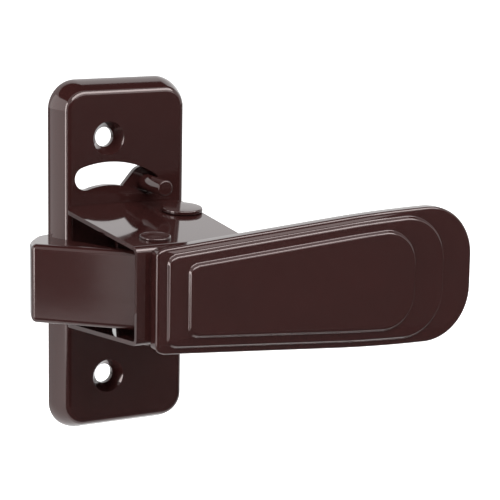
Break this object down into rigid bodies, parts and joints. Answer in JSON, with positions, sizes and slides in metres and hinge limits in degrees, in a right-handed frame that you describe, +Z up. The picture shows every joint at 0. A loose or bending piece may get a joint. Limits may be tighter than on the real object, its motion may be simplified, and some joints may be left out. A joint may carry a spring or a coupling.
{
  "type": "screen door latch",
  "caption": "Inside latch for a screen door: a plate that screws to the door, a sprung lever with a long stepped paddle, a swinging tongue and a sliding night lock.",
  "frame": {"origin": "midpoint between the two screw holes, in the middle of their straight part, 4.3 mm in front of the door's face", "axes": "+X towards the paddle, +Y into the door, +Z up; the room is at -Y"},
  "size_m": [0.1353, 0.0655, 0.1118],
  "materials": {
    "brown_enamel": "glossy dark brown baked enamel",
    "brown_sheet": "glossy dark brown baked enamel on folded steel",
    "plated_steel": "bright zinc plate",
    "spring_steel": "drawn spring wire"
  },
  "bodies": {
    "base": {"backplate": "brown_enamel", "pivot_bracket": "brown_sheet", "bracket_rivets": "plated_steel", "pivot_pin": "brown_enamel", "ear_washers": "plated_steel", "pin_clip": "plated_steel", "pin_bushing": "plated_steel", "lever_spring": "spring_steel", "lock_rivet": "brown_enamel", "lock_washer": "plated_steel"},
    "lever": {"lever_bracket": "brown_sheet", "push_bar": "brown_sheet", "paddle": "brown_enamel", "paddle_rivets": "brown_sheet", "tongue_rivet": "brown_enamel", "tongue_spacers": "plated_steel", "tongue_bushing": "plated_steel", "tongue_spring": "spring_steel"},
    "tongue": {"tongue": "brown_enamel"},
    "lock": {"lock_arm": "brown_sheet", "lock_stud": "brown_enamel"}
  },
  "joints": [
    {"name": "lever_push", "type": "hinge", "parent": "base", "child": "lever", "pos_m": [0.0179, -0.0197, -0.0013], "axis": [0, 0, 1], "range_deg": [0, 22], "stiffness_Nm_per_rad": 0.6, "springref_deg": -28.65, "deforming": ["lever_spring"]},
    {"name": "tongue_swing", "type": "hinge", "parent": "lever", "child": "tongue", "pos_m": [-0.0045, -0.0457, -0.0013], "axis": [0, 0, -1], "range_deg": [0, 22], "stiffness_Nm_per_rad": 0.08, "springref_deg": -22.92, "deforming": ["tongue_spring"]},
    {"name": "lock_turn", "type": "hinge", "parent": "base", "child": "lock", "pos_m": [0, 0, 0], "axis": [0, -1, 0], "range_deg": [0, 47]}
  ]
}
